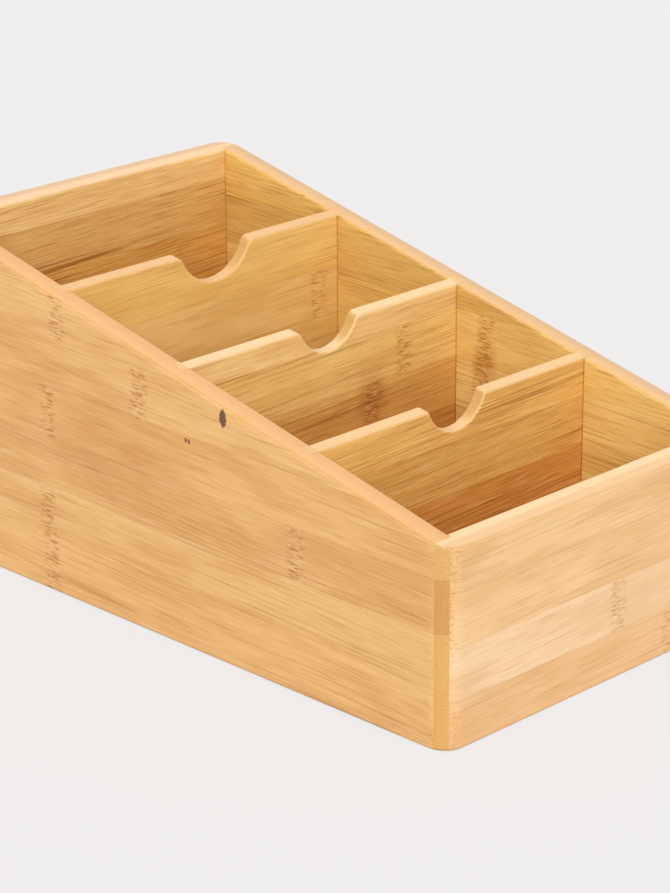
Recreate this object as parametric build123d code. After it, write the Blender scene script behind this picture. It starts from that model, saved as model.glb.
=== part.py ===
from build123d import *
import os

# A desk or kitchen organiser of solid bamboo board: an open box with sloping
# sides, a low front, a tall back and three fixed dividers, each with a thumb
# notch in its top edge. Millimetres. X runs left to right, Y from the front to
# the back, Z up. The origin is the middle of the footprint, on the table.

# Overall size, to the outer corners as they are before sanding
WIDTH = 150.0
DEPTH = 260.0
FRONT_HEIGHT = 71.0
BACK_HEIGHT = 130.0

# Boards
SIDE_THICKNESS = 8.5
END_THICKNESS = 8.5
DIVIDER_THICKNESS = 5.3
BASE_THICKNESS = 5.0
DIVIDER_NAMES = ("front_divider", "middle_divider", "rear_divider")

# Joints
RABBET_DEPTH = 2.5
HOUSING_DEPTH = 3.5
BASE_GROOVE_DEPTH = 2.5
BASE_RISE = 5.0
SLIP_FIT = 0.1
SWELLING_ROOM = 0.3

# Thumb notches: the rear one is larger, and lies to the right of the middle
NOTCH_RADIUS = 14.5
NOTCH_DROP = 10.5
REAR_NOTCH_RADIUS = 17.7
REAR_NOTCH_DROP = 12.5
REAR_NOTCH_SHIFT = 3.5

# Rounded edges: the front notch is sanded less at its shoulders than the others
CORNER_RADIUS = 8.5
RIM_ROUND = 1.5
FOOT_ROUND = 1.5
MOUTH_ROUND = 1.0
FRONT_SHOULDER_ROUND = 1.5
SHOULDER_ROUND = 3.5

# Worked out from the sizes above
DIVIDERS = len(DIVIDER_NAMES)
OUTER_SIDE = WIDTH / 2
FRONT = -DEPTH / 2
BACK = DEPTH / 2
INNER_SIDE = OUTER_SIDE - SIDE_THICKNESS
INNER_FRONT = FRONT + END_THICKNESS
INNER_BACK = BACK - END_THICKNESS
LIP_THICKNESS = END_THICKNESS - RABBET_DEPTH
BASE_TOP = BASE_RISE + BASE_THICKNESS
SLOPE = (BACK_HEIGHT - FRONT_HEIGHT) / DEPTH
PITCH = (INNER_BACK - INNER_FRONT + DIVIDER_THICKNESS) / (DIVIDERS + 1)
TOLERANCE = 0.01


def block(x_range, y_range, z_range):
    """A square-edged blank between two limits on each axis."""
    limits = (x_range, y_range, z_range)
    size = [high - low for low, high in limits]
    middle = [(low + high) / 2 for low, high in limits]
    return Pos(*middle) * Box(*size)


def rim_height(y):
    """Height of the sloping rim at a place between the front and the back."""
    return FRONT_HEIGHT + SLOPE * (y - FRONT)


def divider_faces(number):
    """Y of a divider's front and back faces, counted from the front."""
    face = INNER_FRONT + (number + 1) * PITCH - DIVIDER_THICKNESS
    return face, face + DIVIDER_THICKNESS


# The box after gluing: every board in place, before any edge is eased

def outer_shape():
    """Solid outline: rounded corners in plan, and a rim in one sloping plane."""
    plan = RectangleRounded(WIDTH, DEPTH, CORNER_RADIUS)
    profile = Polyline(
        (FRONT, 0), (BACK, 0), (BACK, BACK_HEIGHT), (FRONT, FRONT_HEIGHT), close=True)
    side_view = extrude(Plane.YZ * make_face(profile), OUTER_SIDE, both=True)
    return extrude(plan, BACK_HEIGHT) & side_view


def divider_wall(number):
    """One divider as the box shows it, from wall to wall and from base to rim."""
    return block((-INNER_SIDE, INNER_SIDE), divider_faces(number), (BASE_TOP, BACK_HEIGHT))


def notch_bar(number):
    """Round bar across one divider that leaves its thumb notch."""
    is_rear = number == DIVIDERS - 1
    radius = REAR_NOTCH_RADIUS if is_rear else NOTCH_RADIUS
    drop = REAR_NOTCH_DROP if is_rear else NOTCH_DROP
    shift = REAR_NOTCH_SHIFT if is_rear else 0
    middle = sum(divider_faces(number)) / 2
    bar = Cylinder(radius, 3 * DIVIDER_THICKNESS, rotation=(90, 0, 0))
    return Pos(shift, middle, rim_height(middle) - drop + radius) * bar


def glued_box():
    outline = outer_shape()
    well = block((-INNER_SIDE, INNER_SIDE), (INNER_FRONT, INNER_BACK), (0, BACK_HEIGHT))
    box = outline - well
    for number in range(DIVIDERS):
        box += divider_wall(number) & outline
    for number in range(DIVIDERS):
        box -= notch_bar(number)
    return box


# The same box after sanding: the edges are eased across the joints

def is_upright(edge):
    size = edge.bounding_box().size
    return size.X < TOLERANCE and size.Y < TOLERANCE


def is_notch_shoulder(edge, number):
    """Where a notch breaks through the top of its divider."""
    middle = edge @ 0.5
    front, back = divider_faces(number)
    between = front + TOLERANCE < middle.Y < back - TOLERANCE
    at_rim = abs(middle.Z - rim_height(middle.Y)) < TOLERANCE
    return between and at_rim and abs(middle.X) < INNER_SIDE - TOLERANCE


def is_mouth(edge):
    """The upper edge of a compartment, and of the notches that open into it."""
    middle = edge @ 0.5
    if is_upright(edge) or middle.Z < BASE_TOP + TOLERANCE:
        return False
    faces = [INNER_FRONT, INNER_BACK]
    for number in range(DIVIDERS):
        faces.extend(divider_faces(number))
    on_side = abs(abs(middle.X) - INNER_SIDE) < TOLERANCE
    on_face = any(abs(middle.Y - face) < TOLERANCE for face in faces)
    return on_side or (on_face and abs(middle.X) < INNER_SIDE)


def is_outer(edge):
    """An edge that goes round the outside, level or sloping."""
    middle = edge @ 0.5
    past_x = max(abs(middle.X) - OUTER_SIDE + CORNER_RADIUS, 0)
    past_y = max(abs(middle.Y) - BACK + CORNER_RADIUS, 0)
    on_wall = (past_x ** 2 + past_y ** 2) ** 0.5 > CORNER_RADIUS - TOLERANCE
    return on_wall and not is_upright(edge)


def is_rim(edge):
    return is_outer(edge) and edge.center().Z > FRONT_HEIGHT / 2


def is_foot(edge):
    return is_outer(edge) and edge.center().Z < TOLERANCE


def sanded_box():
    box = glued_box()
    for number in range(DIVIDERS):
        shoulders = [edge for edge in box.edges() if is_notch_shoulder(edge, number)]
        box = fillet(shoulders, FRONT_SHOULDER_ROUND if number == 0 else SHOULDER_ROUND)
    box = fillet(box.edges().filter_by(is_mouth), MOUTH_ROUND)
    box = fillet(box.edges().filter_by(is_rim), RIM_ROUND)
    return fillet(box.edges().filter_by(is_foot), FOOT_ROUND)


# The boards: each is its blank, cut for the joints, out of the sanded box

def base_panel():
    """Thin floor that floats in a groove round all four walls."""
    reach = BASE_GROOVE_DEPTH - SWELLING_ROOM
    return block(
        (-INNER_SIDE - reach, INNER_SIDE + reach),
        (INNER_FRONT - reach, INNER_BACK + reach),
        (BASE_RISE, BASE_TOP))


def base_groove():
    """Room for the edge of the base; it rests on the groove's lower cheek."""
    return block(
        (-INNER_SIDE - BASE_GROOVE_DEPTH, INNER_SIDE + BASE_GROOVE_DEPTH),
        (INNER_FRONT - BASE_GROOVE_DEPTH, INNER_BACK + BASE_GROOVE_DEPTH),
        (BASE_RISE, BASE_TOP + SLIP_FIT))


def end_blank(face, inner_face):
    """Front or back board: its ends are rabbeted, and lap over the sides."""
    low, high = sorted((face, inner_face))
    blank = block((-OUTER_SIDE, OUTER_SIDE), (low, high), (0, BACK_HEIGHT))
    lip = face + LIP_THICKNESS if face < inner_face else face - LIP_THICKNESS
    rabbet_depth = sorted((lip, inner_face))
    for rabbet_width in ((-OUTER_SIDE, -INNER_SIDE), (INNER_SIDE, OUTER_SIDE)):
        blank -= block(rabbet_width, rabbet_depth, (0, BACK_HEIGHT))
    return blank - base_groove()


def housing(number):
    """Slots in both sides that hold the ends of one divider."""
    front, back = divider_faces(number)
    half_length = INNER_SIDE + HOUSING_DEPTH
    return block(
        (-half_length, half_length),
        (front - SLIP_FIT, back + SLIP_FIT),
        (BASE_RISE, BACK_HEIGHT))


def side_blank(x_range):
    """Side board: it runs between the lips, slotted for dividers and base."""
    blank = block(x_range, (FRONT + LIP_THICKNESS, BACK - LIP_THICKNESS), (0, BACK_HEIGHT))
    for number in range(DIVIDERS):
        blank -= housing(number)
    return blank - base_groove()


def divider_blank(number):
    """Divider with both its ends in the housings, standing on the base."""
    half_length = INNER_SIDE + HOUSING_DEPTH
    return block((-half_length, half_length), divider_faces(number), (BASE_TOP, BACK_HEIGHT))


def boards():
    sanded = sanded_box()
    parts = {
        "front_panel": sanded & end_blank(FRONT, INNER_FRONT),
        "back_panel": sanded & end_blank(BACK, INNER_BACK),
        "left_side": sanded & side_blank((-OUTER_SIDE, -INNER_SIDE)),
        "right_side": sanded & side_blank((INNER_SIDE, OUTER_SIDE)),
        "base_panel": base_panel(),
    }
    for number, name in enumerate(DIVIDER_NAMES):
        parts[name] = sanded & divider_blank(number)
    return parts


os.makedirs("parts", exist_ok=True)
for name, board in boards().items():
    export_step(board, f"parts/{name}.step")
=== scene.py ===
import math
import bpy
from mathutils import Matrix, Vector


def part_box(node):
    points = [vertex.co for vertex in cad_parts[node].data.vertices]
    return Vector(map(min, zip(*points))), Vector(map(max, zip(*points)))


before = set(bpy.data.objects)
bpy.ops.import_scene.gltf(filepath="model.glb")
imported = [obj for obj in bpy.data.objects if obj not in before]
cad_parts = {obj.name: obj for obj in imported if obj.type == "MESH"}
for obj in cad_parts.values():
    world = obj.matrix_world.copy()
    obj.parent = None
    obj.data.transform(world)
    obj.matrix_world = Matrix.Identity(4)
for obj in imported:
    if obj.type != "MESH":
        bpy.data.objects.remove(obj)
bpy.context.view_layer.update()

from types import SimpleNamespace

import bpy
from mathutils import Quaternion, Vector


# The viewpoint: a long lens, looking down a little on the box's front left corner. A picture
# that is taller than wide takes the camera's sensor width along its height.

VIEW_PLACE = Vector((-0.7241, -0.7304, 0.4356))
VIEW_AZIMUTH = math.radians(44.955)
VIEW_DOWNWARD = math.radians(20.407)
VIEW_ROLL = math.radians(-0.318)
FOCAL_PIXELS = 3045.3           # the lens's focal length, in pixels of the picture
PICTURE_HEIGHT = 893            # in pixels
SENSOR_SIZE = 36.0              # in millimetres

camera_data = bpy.data.cameras.new("camera")
camera_data.sensor_width = SENSOR_SIZE
camera_data.lens = FOCAL_PIXELS / PICTURE_HEIGHT * SENSOR_SIZE
camera = bpy.data.objects.new("camera", camera_data)
bpy.context.scene.collection.objects.link(camera)
look = Vector((
    math.sin(VIEW_AZIMUTH) * math.cos(VIEW_DOWNWARD),
    math.cos(VIEW_AZIMUTH) * math.cos(VIEW_DOWNWARD),
    -math.sin(VIEW_DOWNWARD)))
camera.location = VIEW_PLACE
camera.rotation_mode = "QUATERNION"
camera.rotation_quaternion = look.to_track_quat("-Z", "Y") @ Quaternion((0, 0, 1), VIEW_ROLL)
bpy.context.scene.camera = camera
bpy.context.scene.view_settings.view_transform = "Standard"


# The studio: a pale matt floor that runs out of sight, under an even white sky and one
# large soft lamp up to the front left.

PALE = "#F0EEED"                # the background, as the eye sees it
FLOOR_PAINT = "#D2D0CF"
FLOOR_EVENNESS = 0.80           # share of the floor in view that is plain background
FLOOR_GLOW = 1.045              # a little over 1, so that the floor looks as pale as the sky
FLOOR_REACH = 4.0               # metres from the middle to each edge
SKY_STRENGTH = 0.74
LAMP_STRENGTH = 2.0
LAMP_FROM = Vector((-0.50, -0.60, 0.62))
LAMP_SPREAD = math.radians(50)


def linear(hex_colour):
    """An sRGB hex colour as the linear RGBA that a socket takes."""
    channels = [int(hex_colour[i:i + 2], 16) / 255 for i in (1, 3, 5)]
    return [c / 12.92 if c <= 0.04045 else ((c + 0.055) / 1.055) ** 2.4 for c in channels] + [1.0]


def add(tree, kind, inputs=(), **settings):
    """Adds a shader node with its settings, links or sets its inputs, which are a list in
    order or a dictionary by name, and gives back its first output."""
    made = tree.nodes.new("ShaderNode" + kind)
    for name, value in settings.items():
        setattr(made, name, value)
    for name, value in inputs.items() if isinstance(inputs, dict) else enumerate(inputs):
        if isinstance(value, bpy.types.NodeSocket):
            tree.links.new(value, made.inputs[name])
        else:
            made.inputs[name].default_value = value
    return made.outputs[0] if made.outputs else None


def in_view(tree):
    """1 for a ray that the eye sees, straight, mirrored or through glass, and 0 for one that
    only carries light."""
    rays = add(tree, "LightPath").node.outputs
    seen = add(tree, "Math", [rays["Is Camera Ray"], rays["Is Glossy Ray"]], operation="MAXIMUM")
    return add(tree, "Math", [seen, rays["Is Transmission Ray"]], operation="MAXIMUM")


world = bpy.data.worlds.new("sky")
world.use_nodes = True
bpy.context.scene.world = world
tree = world.node_tree
tree.nodes.clear()
lit = add(tree, "Background", {"Color": (1, 1, 1, 1), "Strength": SKY_STRENGTH})
shown = add(tree, "Background", {"Color": linear(PALE), "Strength": 1.0})
add(tree, "OutputWorld", [add(tree, "MixShader", [in_view(tree), lit, shown])])

lamp_data = bpy.data.lights.new("soft_lamp", "SUN")
lamp_data.energy = LAMP_STRENGTH
lamp_data.angle = LAMP_SPREAD
lamp = bpy.data.objects.new("soft_lamp", lamp_data)
lamp.rotation_mode = "QUATERNION"
lamp.rotation_quaternion = (-LAMP_FROM).to_track_quat("-Z", "Y")
bpy.context.scene.collection.objects.link(lamp)

floor_mesh = bpy.data.meshes.new("floor")
corners = [(x * FLOOR_REACH, y * FLOOR_REACH, 0) for x, y in ((-1, -1), (1, -1), (1, 1), (-1, 1))]
floor_mesh.from_pydata(corners, [], [(0, 1, 2, 3)])
floor = bpy.data.objects.new("floor", floor_mesh)
bpy.context.scene.collection.objects.link(floor)

# Matt paint: it has no gloss, so that only a faint shadow shows on it.
paint = bpy.data.materials.new("matt_painted_floor")
paint.use_nodes = True
tree = paint.node_tree
tree.nodes.clear()
even = add(tree, "Math", [in_view(tree), FLOOR_EVENNESS], operation="MULTIPLY")
matt = add(tree, "BsdfDiffuse", {"Color": linear(FLOOR_PAINT)})
glow = add(tree, "Emission", {"Color": linear(PALE), "Strength": FLOOR_GLOW})
add(tree, "OutputMaterial", [add(tree, "MixShader", [even, matt, glow])])
floor_mesh.materials.append(paint)


# Side boards: two plies of bamboo strip, pressed and glued, with the grain from front to
# back. Their top edges are sanded to one slope with the rest of the rim, and every face
# has a thin satin lacquer.

MM = 1000.0                     # millimetres in a metre: the patterns are in millimetres
wall_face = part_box("right_side")[0].x * MM      # from the box's middle to a side's inner face

# What all the layers below share.
STRIP_WIDTH = 18.9
DARK_FIBRE = "#BC9559"          # tint of dark fibres, lines, glue and shadowed seams
PALE_FIBRE = "#FFE8BC"          # colour of the fibres that catch the light
NOISE_STEP = 97.0               # streak lengths from one seed's noise to the next one's


def board_axes(tree, grain, lying):
    """Where a point lies along the grain, across it and through the board's thickness, and
    how squarely the surface there faces each way, from 0 to 1."""
    point = add(tree, "TexCoord").node.outputs["Object"]
    point = add(tree, "VectorMath", {0: point, "Scale": MM}, operation="SCALE")
    place = add(tree, "SeparateXYZ", [point]).node.outputs
    normal = add(tree, "NewGeometry").node.outputs["Normal"]
    up = add(tree, "SeparateXYZ", [normal]).node.outputs["Z"]
    facing = add(tree, "VectorMath", [normal], operation="ABSOLUTE")
    facing = add(tree, "SeparateXYZ", [facing]).node.outputs
    sideways = "X" if grain == "Y" else "Y"
    across, through = (sideways, "Z") if lying else ("Z", sideways)
    return SimpleNamespace(
        along=place[grain], across=place[across], through=place[through],
        endwise=facing[grain], facewise=facing[through], level=facing["Z"], up=up)


def streaks(tree, places, size, seed, detail=2.0):
    """Noise from 0 to 1 in streaks along the grain, of that length and width."""
    along, across, through = places
    length, width = size
    spot = add(tree, "CombineXYZ", [
        add(tree, "Math", [along, 1 / length, seed * NOISE_STEP], operation="MULTIPLY_ADD"),
        add(tree, "Math", [across, 1 / width], operation="MULTIPLY"),
        add(tree, "Math", [through, 1 / width], operation="MULTIPLY")])
    return add(tree, "TexNoise", {"Vector": spot, "Scale": 1.0, "Detail": detail})


def by_strip(tree, across, first_joint, colours):
    """The colour of the glued strip at a point, and the point's place counted in strips. The
    first strip ends at the first joint, and the last colour holds for all strips past it."""
    place = add(tree, "Math", [across, 1 / STRIP_WIDTH, 1 - first_joint / STRIP_WIDTH],
                operation="MULTIPLY_ADD")
    number = add(tree, "Math", [place], operation="FLOOR")
    middle_of_step = add(tree, "Math", [number, 1 / len(colours), 0.5 / len(colours)],
                         operation="MULTIPLY_ADD")
    ramp = add(tree, "ValToRGB", [middle_of_step])
    steps = ramp.node.color_ramp
    steps.interpolation = "CONSTANT"
    for index, colour in enumerate(colours):
        if index > 1:           # a new ramp has two steps already
            steps.elements.new(index / len(colours))
        steps.elements[index].position = index / len(colours)
        steps.elements[index].color = colour
    return ramp, place


def two_plies(tree, at, glue, reach, near, far):
    """What holds at a point: the near ply's values up to the glue plane, the far ply's past
    it. A ramp's colours start at 0, so a knuckle's place goes in as a share of the board's
    length, from its left or front end."""
    is_far = add(tree, "Math", [at.through, glue], operation="GREATER_THAN")
    tones, knuckles, strips = [], [], []
    for ply in (near, far):
        tone, strip = by_strip(tree, at.across, ply["joint"], [linear(t) for t in ply["tones"]])
        shares = [place / (2 * reach) + 0.5 for place in ply["knuckles"]]
        knuckle, _ = by_strip(tree, at.across, ply["joint"], [(s, s, s, 1.0) for s in shares])
        tones.append(tone)
        knuckles.append(knuckle)
        strips.append(strip)
    share = add(tree, "MixRGB", [is_far, *knuckles])
    # A Mix node's inputs for plain numbers are 0, the factor, and 2 and 3, the two numbers.
    return SimpleNamespace(
        is_far=is_far,
        tone=add(tree, "MixRGB", [is_far, *tones]),
        knuckle=add(tree, "Math", [share, 2 * reach, -reach], operation="MULTIPLY_ADD"),
        strip=add(tree, "Mix", {0: is_far, 2: strips[0], 3: strips[1]}),
        lines=add(tree, "Mix", {0: is_far, 2: near["lines"], 3: far["lines"]}),
        fibres=add(tree, "Mix", {0: is_far, 2: near["fibres"], 3: far["fibres"]}))


STAIN_AND_SHADE_UNEVENNESS = 1.2          # in half sizes of the patch, all told


def with_stains_and_shade(tree, colour, at, ply, stains_and_shade):
    """Soft-edged stains of the cane and soft patches of painted shade, which lie in the near ply
    alone. The distance from a patch's middle is counted in its own half sizes, and noise makes
    its edge uneven."""
    is_near = add(tree, "Math", [1.0, ply.is_far], operation="SUBTRACT")
    edge = 1 + STAIN_AND_SHADE_UNEVENNESS / 2
    for tinted_area in stains_and_shade:
        place, height = tinted_area["middle"]
        half_length, half_height = tinted_area["half_size"]
        uneven = streaks(
            tree, (at.along, at.across, 0.0), (half_length, half_height / 2), seed=place)
        flat = add(tree, "Math", [at.along, 1 / half_length, -place / half_length],
                   operation="MULTIPLY_ADD")
        tall = add(tree, "Math", [at.across, 1 / half_height, -height / half_height],
                   operation="MULTIPLY_ADD")
        off = add(tree, "CombineXYZ", [flat, tall])
        off = add(tree, "VectorMath", [off], operation="LENGTH").node.outputs["Value"]
        off = add(tree, "Math", [uneven, STAIN_AND_SHADE_UNEVENNESS, off], operation="MULTIPLY_ADD")
        start, full = edge + tinted_area["softness"], edge - tinted_area["softness"]
        amount = add(tree, "MapRange", [off, start, full, 0.0, tinted_area["strength"]],
                     interpolation_type="SMOOTHSTEP")
        amount = add(tree, "Math", [amount, is_near], operation="MULTIPLY")
        colour = add(tree, "MixRGB", [amount, colour, linear(tinted_area["tone"])])
    return colour


STRIP_SHIFT = 37.3              # how far along the noise each strip starts past the one below
PLY_SHIFT = 11.0                # how many such steps the far ply starts past the near one
LEAN = 0.03                     # how far the fibres lean off the board's own line, as a slope
STRAY = 2.0                     # and how far they wander from that, in long gentle waves
STRAY_SIZE = (90.0, 40.0)


def in_cane(tree, at, ply, seed):
    """Where a point lies in the cane. Each strip is its own length of cane, so its fibres
    don't run on into the next one's."""
    number = add(tree, "Math", [ply.strip], operation="FLOOR")
    number = add(tree, "Math", [ply.is_far, PLY_SHIFT, number], operation="MULTIPLY_ADD")
    along = add(tree, "Math", [number, STRIP_SHIFT, at.along], operation="MULTIPLY_ADD")
    stray = streaks(tree, (along, at.across, at.through), STRAY_SIZE, seed, detail=0.0)
    across = add(tree, "Math", [at.along, -LEAN, at.across], operation="MULTIPLY_ADD")
    across = add(tree, "Math", [stray, STRAY, across], operation="MULTIPLY_ADD")
    return along, across, at.through


# Sizes of streaks are their length and width. A pair of levels is where in its noise a layer
# starts to show and where it is full. Real fibres are about 0.2 mm wide, too fine to show in
# the picture, so they are drawn about twice as wide, and so are the threads.
PATCH_SIZE = (40.0, 9.0)
PATCH_LEVELS = (0.36, 0.66)
PATCH_TINT = "#F5EEE2"
FIBRE_SIZE = (13.0, 0.38)
DARK_FIBRE_LEVELS = (0.48, 0.80)
PALE_FIBRE_LEVELS = (0.42, 0.20)
THREAD_SIZE = (30.0, 0.55)
THREAD_LEVELS = (0.60, 0.67)
BAND_SIZE = (110.0, 9.0)
BAND_LEVELS = (0.44, 0.62)
LINE_SIZE = (120.0, 0.75)
LINE_LEVELS = (0.54, 0.62)


def with_grain(tree, colour, cane, ply, seed):
    """Duller patches, dark and pale fibres, single dark threads, and long darker lines that
    gather in bands. Gives back the fibres and threads too, for the relief."""
    patch = streaks(tree, cane, PATCH_SIZE, seed)
    patch = add(tree, "MapRange", [patch, *PATCH_LEVELS], interpolation_type="SMOOTHSTEP")
    colour = add(tree, "MixRGB", [patch, colour, linear(PATCH_TINT)], blend_type="MULTIPLY")

    fibres = streaks(tree, cane, FIBRE_SIZE, seed + 1)
    dark = add(tree, "MapRange", [fibres, *DARK_FIBRE_LEVELS])
    dark = add(tree, "Math", [dark, ply.fibres], operation="MULTIPLY")
    colour = add(tree, "MixRGB", [dark, colour, linear(DARK_FIBRE)], blend_type="MULTIPLY")
    pale = add(tree, "MapRange", [fibres, *PALE_FIBRE_LEVELS])
    pale = add(tree, "Math", [pale, ply.fibres], operation="MULTIPLY")
    colour = add(tree, "MixRGB", [pale, colour, linear(PALE_FIBRE)])

    thread = streaks(tree, cane, THREAD_SIZE, seed + 2, detail=1.0)
    thread = add(tree, "MapRange", [thread, *THREAD_LEVELS], interpolation_type="SMOOTHSTEP")
    thread = add(tree, "Math", [thread, ply.fibres], operation="MULTIPLY")
    colour = add(tree, "MixRGB", [thread, colour, linear(DARK_FIBRE)], blend_type="MULTIPLY")

    band = streaks(tree, cane, BAND_SIZE, seed + 3, detail=1.0)
    band = add(tree, "MapRange", [band, *BAND_LEVELS], interpolation_type="SMOOTHSTEP")
    line = streaks(tree, cane, LINE_SIZE, seed + 4, detail=1.0)
    line = add(tree, "MapRange", [line, *LINE_LEVELS], interpolation_type="SMOOTHSTEP")
    line = add(tree, "Math", [line, band], operation="MULTIPLY")
    line = add(tree, "Math", [line, ply.lines], operation="MULTIPLY")
    colour = add(tree, "MixRGB", [line, colour, linear(DARK_FIBRE)], blend_type="MULTIPLY")
    return colour, fibres, thread


KNUCKLE_LENGTH = 8.0
KNUCKLE_FADE = (KNUCKLE_LENGTH / 2 + 0.8, KNUCKLE_LENGTH / 2 - 1.2)     # from its middle
KNUCKLE_HAZE = "#F4E2C0"
RAGGEDNESS = 5.0                # how far the ring's place differs from fibre to fibre
RAGGED_SIZE = (9.0, 1.1)
DASH_SIZE = (3.6, 0.65)
DARK_DASH_LEVELS = (0.54, 0.62)
PALE_DASH_LEVELS = (0.46, 0.34)
DARK_DASH_BASE = 0.40           # strength of the dark dashes on a board without lines
DARK_DASH_GAIN = 0.5            # share of the lines' strength that is added to it
PALE_DASH_STRENGTH = 0.20


def with_knuckles(tree, colour, at, cane, ply, seed):
    """Knuckles: where the cane had a ring, its fibres break into short raised and sunken
    dashes in a hazy band. Gives back the dashes too, for the relief."""
    ragged = streaks(tree, (at.along, at.across, at.through), RAGGED_SIZE, seed, detail=1.0)
    off = add(tree, "Math", [at.along, ply.knuckle], operation="SUBTRACT")
    off = add(tree, "Math", [ragged, RAGGEDNESS, off], operation="MULTIPLY_ADD")
    off = add(tree, "Math", [off, RAGGEDNESS / 2], operation="SUBTRACT")
    off = add(tree, "Math", [off], operation="ABSOLUTE")
    ring = add(tree, "MapRange", [off, *KNUCKLE_FADE])
    haze = add(tree, "Math", [ring, ply.lines], operation="MULTIPLY")
    colour = add(tree, "MixRGB", [haze, colour, linear(KNUCKLE_HAZE)], blend_type="MULTIPLY")

    dashes = streaks(tree, cane, DASH_SIZE, seed + 1, detail=1.0)
    dark = add(tree, "MapRange", [dashes, *DARK_DASH_LEVELS], interpolation_type="SMOOTHSTEP")
    dark = add(tree, "Math", [dark, ring], operation="MULTIPLY")
    amount = add(tree, "Math", [ply.lines, DARK_DASH_GAIN, DARK_DASH_BASE],
                 operation="MULTIPLY_ADD")
    amount = add(tree, "Math", [dark, amount], operation="MULTIPLY")
    colour = add(tree, "MixRGB", [amount, colour, linear(DARK_FIBRE)], blend_type="MULTIPLY")
    pale = add(tree, "MapRange", [dashes, *PALE_DASH_LEVELS], interpolation_type="SMOOTHSTEP")
    pale = add(tree, "Math", [pale, ring], operation="MULTIPLY")
    amount = add(tree, "Math", [pale, PALE_DASH_STRENGTH], operation="MULTIPLY")
    colour = add(tree, "MixRGB", [amount, colour, linear(PALE_FIBRE)])
    return colour, dark, pale


GLUE_LINE = 0.35                # half its width: a real one is finer, and would not show
GLUE_STRENGTH = 0.18


def with_glue_lines(tree, colour, ply):
    """The glue between two strips, as a hairline."""
    off_middle = add(tree, "Math", [ply.strip], operation="FRACT")
    off_middle = add(tree, "Math", [off_middle, 0.5], operation="SUBTRACT")
    off_middle = add(tree, "Math", [off_middle], operation="ABSOLUTE")
    start = 0.5 - GLUE_LINE / STRIP_WIDTH
    glue = add(tree, "MapRange", [off_middle, start, 0.5, 0.0, GLUE_STRENGTH])
    return add(tree, "MixRGB", [glue, colour, linear(DARK_FIBRE)], blend_type="MULTIPLY")


SEAM_WIDTH = 0.9
SEAM_STRENGTH = 0.55
BROAD_FACE = 0.9                # a surface that faces this squarely is the board's broad face


def with_wall_seams(tree, colour, at, indoors):
    """The shadowed seam where a broad face inside the box meets a side board."""
    seam = add(tree, "Math", [at.along], operation="ABSOLUTE")
    seam = add(tree, "MapRange", [seam, wall_face - SEAM_WIDTH, wall_face, 0.0, SEAM_STRENGTH])
    broad = add(tree, "Math", [at.facewise, BROAD_FACE], operation="GREATER_THAN")
    broad = add(tree, "Math", [indoors, broad], operation="MULTIPLY")
    seam = add(tree, "Math", [seam, broad], operation="MULTIPLY")
    return add(tree, "MixRGB", [seam, colour, linear(DARK_FIBRE)], blend_type="MULTIPLY")


TOP_STRENGTH = 0.94
TOP_LEVELS = (0.50, 0.88)       # how far up a surface faces where the top's tone starts and is full
NOTCH_TOP_LEVELS = (0.25, 0.70)
RIM_TONE = "#E6B47B"            # of the sides' rim, which the housed ends of a divider share
HOUSED_FADE = 1.5
HOUSED_STRENGTH = 0.7
MOTTLE_LEVELS = (0.3, 0.8)
MOTTLE_STRENGTH = 0.10


def with_sanded_top(tree, colour, at, fibres, glue, tops, notched):
    """Sanded top edges, which cut across the fibres, so they are plainer than the faces and
    mostly paler. The tone turns from the near tone to the far one about the glue plane; on the
    front, back and right rims the duller outer tone is painted shade, where the outer edge
    rounds away from the light."""
    half_blend = tops["blend"] / 2
    far_ply = add(tree, "MapRange", [at.through, glue - half_blend, glue + half_blend],
                  interpolation_type="SMOOTHSTEP")
    tone = add(tree, "MixRGB", [far_ply, linear(tops["near"]), linear(tops["far"])])
    if notched:
        housed = add(tree, "Math", [at.along], operation="ABSOLUTE")
        housed = add(tree, "MapRange", [
            housed, wall_face, wall_face + HOUSED_FADE, 0.0, HOUSED_STRENGTH])
        tone = add(tree, "MixRGB", [housed, tone, linear(RIM_TONE)])
    mottle = add(tree, "MapRange", [fibres, *MOTTLE_LEVELS, 0.0, MOTTLE_STRENGTH])
    tone = add(tree, "MixRGB", [mottle, tone, linear(DARK_FIBRE)], blend_type="MULTIPLY")
    levels = NOTCH_TOP_LEVELS if notched else TOP_LEVELS
    top = add(tree, "MapRange", [at.up, *levels, 0.0, TOP_STRENGTH],
              interpolation_type="SMOOTHSTEP")
    return add(tree, "MixRGB", [top, colour, tone])


END_LEVELS = (0.60, 0.64)       # how squarely a surface faces along the grain
NOTCH_END_LEVELS = (0.35, 0.64)
BELOW_TOP_LEVELS = (0.85, 0.50) # how far up it may face before the sanded top takes over
BUNDLE = 0.62                   # fibre bundles, drawn about twice as coarse so that they show
DOT_LEVELS = (0.42, 0.68)
DOT_STRENGTH = 0.20


def with_end_grain(tree, colour, at, ends, notched):
    """End grain: the cut ends of the fibre bundles, as close dots under the lacquer."""
    levels = NOTCH_END_LEVELS if notched else END_LEVELS
    end = add(tree, "MapRange", [at.endwise, *levels])
    if not notched:
        below_top = add(tree, "MapRange", [at.up, *BELOW_TOP_LEVELS])
        end = add(tree, "Math", [end, below_top], operation="MULTIPLY")
    spot = add(tree, "CombineXYZ", [at.across, at.through])
    dots = add(tree, "TexNoise", {"Vector": spot, "Scale": 1 / BUNDLE, "Detail": 1.0})
    dots = add(tree, "MapRange", [dots, *DOT_LEVELS, 0.0, DOT_STRENGTH])
    tone, _ = by_strip(tree, at.across, ends["joint"], [linear(t) for t in ends["tones"]])
    tone = add(tree, "MixRGB", [dots, tone, linear(DARK_FIBRE)], blend_type="MULTIPLY")
    return add(tree, "MixRGB", [end, colour, tone])


EASED_LEVELS = (0.97, 0.80)     # of the squarer of two ways that a surface faces
EASED_TINT = "#F3EDE4"
LIP_LEVELS = (0.25, 0.50)
LIP_STRENGTH = 0.55


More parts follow.
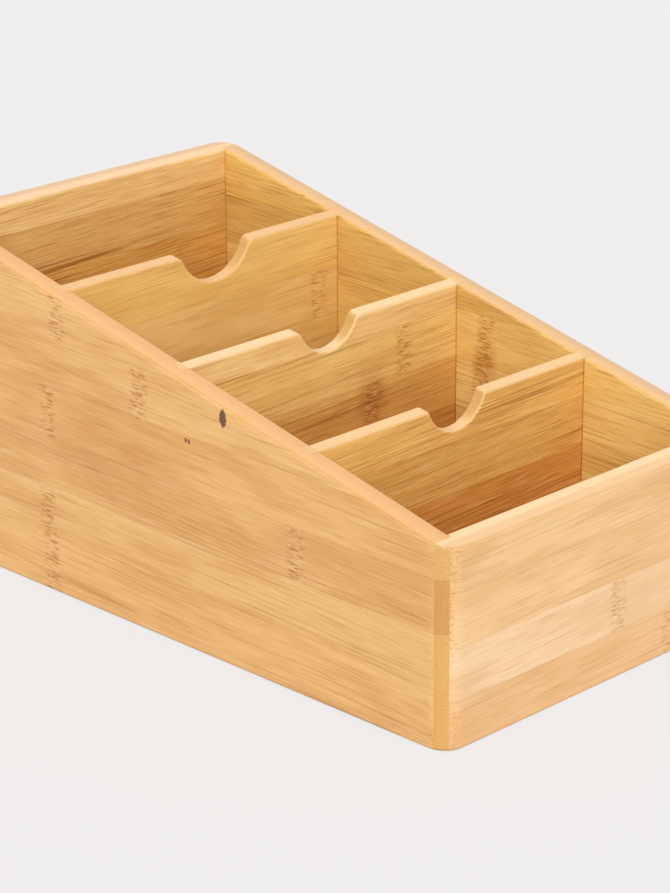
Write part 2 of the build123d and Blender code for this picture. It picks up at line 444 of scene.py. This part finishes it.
def with_eased_edges(tree, colour, at, tops, notched):
    """Eased edges: a shade deeper than the faces that they lie between, but the lips of a
    notch are nearer to the tone of its top. The box's upright corners have a large radius of
    their own, and keep the tone of their faces."""
    square_on = at.facewise if notched else at.level
    edge_on = add(tree, "Math", [square_on, square_on], operation="MULTIPLY")
    edge_on = add(tree, "Math", [1.0, edge_on], operation="SUBTRACT")
    edge_on = add(tree, "Math", [edge_on], operation="SQRT")
    flat = add(tree, "Math", [edge_on, square_on], operation="MAXIMUM")
    eased = add(tree, "MapRange", [flat, *EASED_LEVELS], interpolation_type="SMOOTHSTEP")
    colour = add(tree, "MixRGB", [eased, colour, linear(EASED_TINT)], blend_type="MULTIPLY")
    if notched:
        lip = add(tree, "MapRange", [at.endwise, *LIP_LEVELS, 0.0, LIP_STRENGTH])
        lip = add(tree, "Math", [lip, eased], operation="MULTIPLY")
        colour = add(tree, "MixRGB", [lip, colour, linear(tops["near"])])
    return colour


DASH_RELIEF = 1.5               # against 1 for the fibres
RELIEF_DEPTH = 0.12             # how deep the fibres show through the lacquer
RELIEF_STRENGTH = 0.35
GLOSS_LEVELS = (0.3, 0.7)
ROUGHNESS = (0.46, 0.54)        # over pale fibres and over dark ones
LACQUER_IOR = 1.45


def satin_lacquer(tree, colour, fibres, thread, dark_dashes, pale_dashes):
    """A thin satin lacquer: a soft broad shine that mirrors nothing clearly, with the fibres
    just to be felt. Threads and dark dashes lie low, and pale dashes stand up."""
    relief = add(tree, "Math", [fibres, thread], operation="SUBTRACT")
    relief = add(tree, "Math", [pale_dashes, DASH_RELIEF, relief], operation="MULTIPLY_ADD")
    relief = add(tree, "Math", [dark_dashes, -DASH_RELIEF, relief], operation="MULTIPLY_ADD")
    bump = add(tree, "Bump", {
        "Height": relief, "Strength": RELIEF_STRENGTH, "Distance": RELIEF_DEPTH / MM})
    roughness = add(tree, "MapRange", [fibres, *GLOSS_LEVELS, *ROUGHNESS])
    return add(tree, "BsdfPrincipled", {
        "Base Color": colour, "Roughness": roughness, "IOR": LACQUER_IOR, "Normal": bump})


def lacquered_bamboo(node_name, grain, reach, glue, near, far, tops, ends, seed,
                     stains_and_shade=(), notched=False, lying=False):
    """Pressed bamboo under a satin lacquer, for one board: warm straw yellow in strips each
    of their own tone, with fine fibres and darker lines along them and a knuckle across
    here and there. The grain runs along X or Y, and reaches as far each way from the middle.
    The near ply is the one to the left of the glue plane, or before it. Each layer's noise
    has a seed of its own, counted from the board's."""
    material = bpy.data.materials.new("lacquered_bamboo_" + node_name)
    material.use_nodes = True
    tree = material.node_tree
    tree.nodes.clear()
    at = board_axes(tree, grain, lying)
    ply = two_plies(tree, at, glue, reach, near, far)
    cane = in_cane(tree, at, ply, seed + 9)
    colour = with_stains_and_shade(tree, ply.tone, at, ply, stains_and_shade)
    colour, fibres, thread = with_grain(tree, colour, cane, ply, seed)
    colour, dark_dashes, pale_dashes = with_knuckles(tree, colour, at, cane, ply, seed + 5)
    colour = with_glue_lines(tree, colour, ply)
    if grain == "X":
        indoors = add(tree, "Mix", {0: ply.is_far, 2: near["indoors"], 3: far["indoors"]})
        colour = with_wall_seams(tree, colour, at, indoors)
    if not lying:
        colour = with_sanded_top(tree, colour, at, fibres, glue, tops, notched)
    colour = with_end_grain(tree, colour, at, ends, notched)
    colour = with_eased_edges(tree, colour, at, tops, notched)
    surface = satin_lacquer(tree, colour, fibres, thread, dark_dashes, pale_dashes)
    add(tree, "OutputMaterial", [surface])
    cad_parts[node_name].data.materials[0] = material


side_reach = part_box("left_side")[1].y * MM
side_glue = (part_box("right_side")[0].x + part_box("right_side")[1].x) / 2 * MM

# A ply has the height of its first glue joint, the strength of its darker lines and of its
# fibres, and for each strip from the table up its tone and how far along its knuckle lies.
left_outer = dict(
    joint=3.5, lines=0.28, fibres=0.26,
    tones=("#E9B979", "#EAB976", "#EABB77", "#E5B370", "#E9B772", "#ECBC78", "#ECBC78"),
    knuckles=(65.0, 65.0, 66.0, -61.5, 65.0, 15.0, 58.0))
left_inner = dict(
    joint=9.0, lines=0.5, fibres=0.45,
    tones=("#E8BC74", "#EBC078", "#E8BC74", "#EBC078", "#E8BC74", "#EBC078", "#E8BC74"),
    knuckles=(-90.0, 20.0, -30.0, 85.0, -5.0, 70.0, 30.0))
# On the right board's inner face the upper strips are given paler tones than any outer face:
# painted light that makes up for the dimmer light inside the box, on top of the strips' own
# differences.
right_inner = dict(
    joint=15.0, lines=0.46, fibres=0.42,
    tones=("#EBC078", "#EBC078", "#F5D080", "#F9D584", "#F7CF79", "#E8BC69", "#F6CC74"),
    knuckles=(70.0, -50.0, 40.0, -15.0, -17.0, -118.0, -118.0))
right_outer = dict(
    joint=1.0, lines=0.34, fibres=0.26,
    tones=("#E9B87A", "#EBBB7B", "#E9B677", "#EBBB7B", "#E7B475", "#EBBB7B", "#E9B87A"),
    knuckles=(30.0, -80.0, -20.0, 90.0, 10.0, 60.0, 95.0))

# The end grain of the four walls, again with a tone for each strip.
board_ends = dict(
    joint=3.5,
    tones=("#D9A65E", "#D9A65E", "#DAA860", "#CE9852", "#DAAA63", "#DAAA63", "#DAAA63"))

# The left board has duller cane to the rear, a brown scar and two specks near it. The right
# one has a brown tinge about a knuckle.
left_stains = (
    dict(middle=(35.0, 64.0), half_size=(34.0, 17.0), tone="#D69C58", strength=0.60, softness=0.6),
    dict(middle=(84.0, 92.0), half_size=(26.0, 14.0), tone="#DAA055", strength=0.40, softness=0.6),
    dict(middle=(-27.2, 90.0), half_size=(1.6, 3.1), tone="#74502F", strength=1.0, softness=0.15),
    dict(middle=(-8.6, 77.6), half_size=(0.7, 1.0), tone="#8E6230", strength=0.9, softness=0.2),
    dict(middle=(-10.2, 77.4), half_size=(0.6, 0.9), tone="#8E6230", strength=0.9, softness=0.2))
right_stains = (
    dict(middle=(-17.0, 73.0), half_size=(5.0, 9.0), tone="#CE8838", strength=0.4, softness=0.6),)

lacquered_bamboo(
    "left_side", "Y", side_reach, -side_glue, left_outer, left_inner,
    tops=dict(near="#EAB579", far="#E3AE73", blend=5.0), ends=board_ends, seed=1,
    stains_and_shade=left_stains)
# The right rim's duller outer tone, far, is painted shade where its outer edge rounds away from the
# light.
lacquered_bamboo(
    "right_side", "Y", side_reach, side_glue, right_inner, right_outer,
    tops=dict(near="#E8BA83", far="#D8B186", blend=5.0), ends=board_ends, seed=21,
    stains_and_shade=right_stains)


# Front and back boards: the same pressed bamboo with the grain from side to side. Their
# rabbeted ends lap over the sides, so their end grain shows on the box's own sides.

end_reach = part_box("front_panel")[1].x * MM
front_glue = (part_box("front_panel")[0].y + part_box("front_panel")[1].y) / 2 * MM
back_glue = (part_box("back_panel")[0].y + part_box("back_panel")[1].y) / 2 * MM

# A strip whose knuckle is at -end_reach has it at the board's left end, in the corner.
# The front board's outer face has paler, whiter tones than the other outer faces: painted sheen of
# its lacquer, on top of the strips' own differences.
front_outer = dict(
    joint=17.6, lines=0.18, fibres=0.2, indoors=0.0,
    tones=("#E9BC88", "#F0CCA0", "#EDC490", "#EAC08A"),
    knuckles=(38.0, 10.0, -end_reach, -end_reach))
front_inner = dict(
    joint=8.0, lines=0.5, fibres=0.45, indoors=1.0,
    tones=("#E8BC74", "#EBC078", "#E8BC74", "#EBC078", "#E8BC74"),
    knuckles=(-30.0, 50.0, 20.0, -50.0, 10.0))
# Low on the back board's inner face the strips are given darker tones and the top one paler:
# painted shade that deepens down into the compartments, on top of the strips' own differences.
back_inner = dict(
    joint=3.5, lines=0.8, fibres=0.45, indoors=1.0,
    tones=("#DA9F4E",) * 5 + ("#DDA553", "#DFAE63", "#F3C882"),
    knuckles=(-end_reach,) * 8)
back_outer = dict(
    joint=5.0, lines=0.34, fibres=0.26, indoors=0.0,
    tones=("#E9B87A", "#EBBB7B", "#E9B677", "#EBBB7B", "#E7B475", "#EBBB7B", "#E9B87A"),
    knuckles=(-20.0, 45.0, -55.0, 15.0, 60.0, -35.0, 25.0))

# The front rim's duller outer tone, near, is painted shade where its outer edge rounds away from
# the light.
lacquered_bamboo(
    "front_panel", "X", end_reach, front_glue, front_outer, front_inner,
    tops=dict(near="#EBC290", far="#F0D1A3", blend=0.8), ends=board_ends, seed=41)
# The back rim's duller outer tone, far, is painted shade where its outer edge rounds away from the
# light.
lacquered_bamboo(
    "back_panel", "X", end_reach, back_glue, back_inner, back_outer,
    tops=dict(near="#F0CBA0", far="#DEBC94", blend=1.5), ends=board_ends, seed=61)


# Dividers: thinner boards that look alike on both faces, with their ends housed in the
# sides. Their notches show the fibres cut across.

divider_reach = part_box("front_divider")[1].x * MM
divider_ends = dict(joint=0.0, tones=("#D8AA62", "#D8AA62"))

# A strip whose knuckle is at -divider_reach has it at the divider's left, housed end.
# On the dividers the lower strips are given darker tones and the upper ones paler: painted shade
# that deepens down into the compartments, on top of the strips' own differences.
front_divider = dict(
    joint=15.2, lines=0.6, fibres=0.45, indoors=1.0,
    tones=("#D8984A", "#D8984A", "#D8994A", "#E0AE5E", "#EDBC6A"),
    knuckles=(-divider_reach,) * 5)
middle_divider = dict(
    joint=15.4, lines=0.4, fibres=0.4, indoors=1.0,
    tones=("#DBA452", "#DBA452", "#DBA452", "#E6B866", "#F1C878", "#F7CE87"),
    knuckles=(-40.0, 30.0, -20.0, 22.0, 38.0, -divider_reach))
rear_divider = dict(
    joint=0.0, lines=0.15, fibres=0.26, indoors=1.0,
    tones=("#E0B264", "#E0B264", "#E0B264", "#E0B264", "#E5BA6A", "#ECC276", "#EFC471"),
    knuckles=(-40.0, 30.0, -20.0, 10.0, -divider_reach, 56.0, -divider_reach))

# The middle divider's front is darker low down, painted shade where less light reaches into
# the compartment, and browner still about its lower knuckle, a tinge of the cane itself.
middle_shade_and_stains = (
    dict(middle=(25.0, 55.0), half_size=(75.0, 17.0), tone="#CC8A3C", strength=0.60, softness=0.7),
    dict(middle=(22.0, 64.0), half_size=(7.0, 11.0), tone="#BE7830", strength=0.55, softness=0.6))

# A divider has one ply, so both are given alike.
for node_name, ply, top, seed, stains_and_shade in (
        ("front_divider", front_divider, "#EDC48F", 81, ()),
        ("middle_divider", middle_divider, "#F1CE9C", 91, middle_shade_and_stains),
        ("rear_divider", rear_divider, "#E9BA84", 101, ())):
    lacquered_bamboo(
        node_name, "X", divider_reach, 0.0, ply, ply,
        tops=dict(near=top, far=top, blend=1.0), ends=divider_ends, seed=seed,
        stains_and_shade=stains_and_shade, notched=True)


# Base: a thin bamboo panel that lies loose in the groove round the four walls, with the
# grain from front to back. Its strips are counted from left to right.

base_ply = dict(
    joint=-57.0, lines=0.5, fibres=0.45,
    tones=("#E2B168", "#E6B76F", "#E0AE64", "#E4B46C", "#E8BA73", "#E2B168", "#E6B76F", "#E0AE64"),
    knuckles=(60.0, -45.0, 10.0, 95.0, -90.0, 40.0, -20.0, 75.0))
lacquered_bamboo(
    "base_panel", "Y", side_reach, 0.0, base_ply, base_ply,
    tops=None, ends=divider_ends, seed=111, lying=True)
